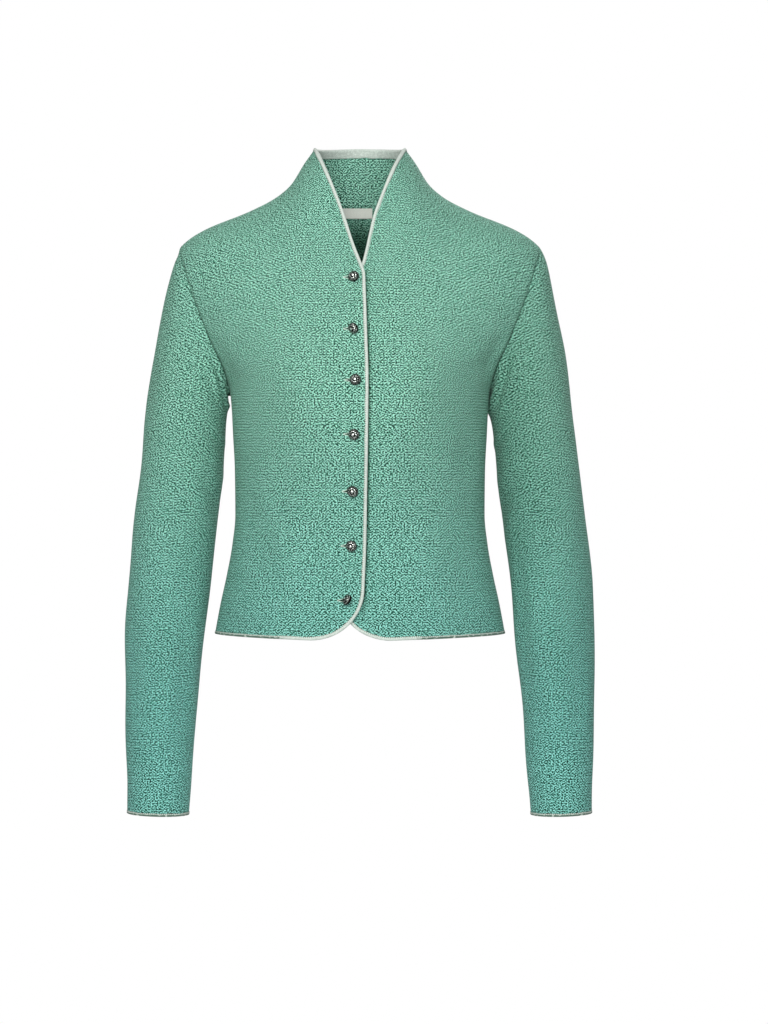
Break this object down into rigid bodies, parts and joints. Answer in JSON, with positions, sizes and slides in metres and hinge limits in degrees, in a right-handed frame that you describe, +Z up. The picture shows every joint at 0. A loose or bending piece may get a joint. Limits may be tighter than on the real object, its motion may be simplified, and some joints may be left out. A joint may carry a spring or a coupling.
{
  "type": "folk cardigan",
  "caption": "Women's fitted folk cardigan in milled knit, filled out as worn and empty: V neck with a stand collar, pale braid edges, domed metal buttons, long sleeves.",
  "frame": {"origin": "midway between the shoulders, level with the base of the back neck, where the wearer's shoulders hold the garment", "axes": "+Z up, -Y out of the fronts, +X towards the wearer's left"},
  "size_m": [0.515, 0.2404, 0.734],
  "materials": {
    "milled_knit": "heathered green milled wool knit, fine cross ribs, matt",
    "pale_braid": "pale grey-green folded braid, matt",
    "button_metal": "antique silver-coloured metal, darkened in the relief",
    "label_tape": "woven cream tape, bare"
  },
  "bodies": {
    "root": {"front_right": "milled_knit", "front_left": "milled_knit", "back": "milled_knit", "collar_back": "milled_knit", "sleeve_right": "milled_knit", "sleeve_left": "milled_knit", "binding_edge_right": "pale_braid", "binding_edge_left": "pale_braid", "binding_collar": "pale_braid", "binding_hem_back": "pale_braid", "binding_cuff_right": "pale_braid", "binding_cuff_left": "pale_braid", "button_1": "button_metal", "button_2": "button_metal", "button_3": "button_metal", "button_4": "button_metal", "button_5": "button_metal", "button_6": "button_metal", "button_7": "button_metal", "neck_label": "label_tape"}
  },
  "joints": []
}
